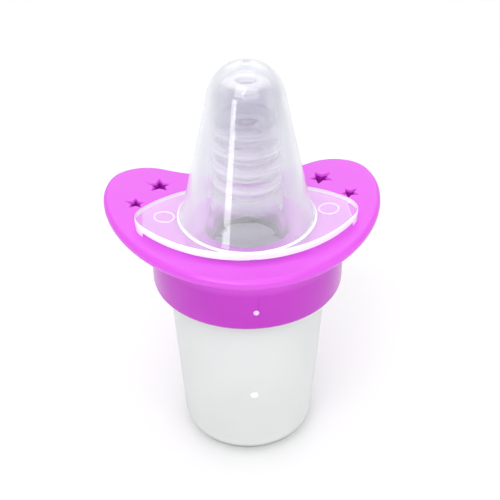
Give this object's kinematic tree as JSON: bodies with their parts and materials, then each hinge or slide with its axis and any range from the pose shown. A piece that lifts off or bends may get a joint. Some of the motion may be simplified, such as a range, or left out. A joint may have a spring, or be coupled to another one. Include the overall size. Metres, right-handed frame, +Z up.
{
  "type": "oral medicine dispenser",
  "caption": "Pacifier-shaped oral medicine dispenser: dosing cup, ribbed silicone nipple, winged mouth shield with a screw collar, and a clear lift-off cover.",
  "frame": {"origin": "centre of the cup's flat base, where it stands", "axes": "+Z up along the axis of the cup, nipple and cover; X along the long axis of the mouth shield; -Y is the front, the shield's straight edge, and +Y the side with the hollow for the nose"},
  "size_m": [0.0626, 0.0485, 0.0918],
  "materials": {
    "cup": "milky translucent polypropylene, satin",
    "nipple": "clear silicone, smooth",
    "shield": "glossy magenta-purple polypropylene",
    "cover": "clear polished plastic"
  },
  "bodies": {
    "cup": {"cup": "cup"},
    "nipple": {"nipple": "nipple"},
    "shield": {"shield": "shield"},
    "cover": {"cover": "cover"}
  },
  "joints": [
    {"name": "nipple_rise", "type": "slide", "parent": "cup", "child": "nipple", "axis": [0, 0, 1], "range_m": [0, 0.003]},
    {"name": "collar_turn", "type": "hinge", "parent": "nipple", "child": "shield", "pos_m": [0, 0, 0.0465], "axis": [0, 0, 1], "range_deg": [0, 360]},
    {"name": "cover_lift", "type": "slide", "parent": "shield", "child": "cover", "axis": [0, 0, 1], "range_m": [0, 0.045]}
  ],
  "couplings": [
    {"joint": "nipple_rise", "follows": "collar_turn", "m_per_rad": 0.00047746}
  ]
}
